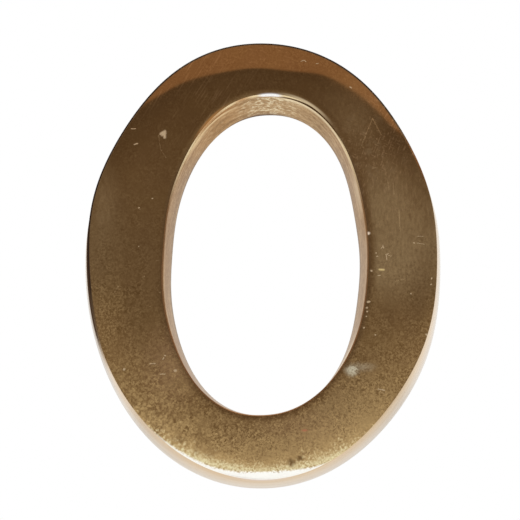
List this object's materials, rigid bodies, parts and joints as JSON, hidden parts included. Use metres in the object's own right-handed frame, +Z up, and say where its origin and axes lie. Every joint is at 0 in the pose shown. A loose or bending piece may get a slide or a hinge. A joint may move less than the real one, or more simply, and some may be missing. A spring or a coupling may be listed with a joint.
{
  "type": "brass door number",
  "caption": "Cast brass door numeral in the form of a nought: an oval ring with a softly crowned face, drafted side walls and a flat back tapped for hidden fixing studs.",
  "frame": {"origin": "on the flat back, midway between the two stud holes", "axes": "+Z up the numeral as it is read, +X to the reader's right, +Y into the door; the face looks along -Y and the back lies in the plane Y = 0"},
  "size_m": [0.0794, 0.008, 0.1016],
  "materials": {
    "brass": "aged, brown patina over a filed and polished face, paler satin walls"
  },
  "bodies": {
    "root": {"numeral": "brass"}
  },
  "joints": []
}
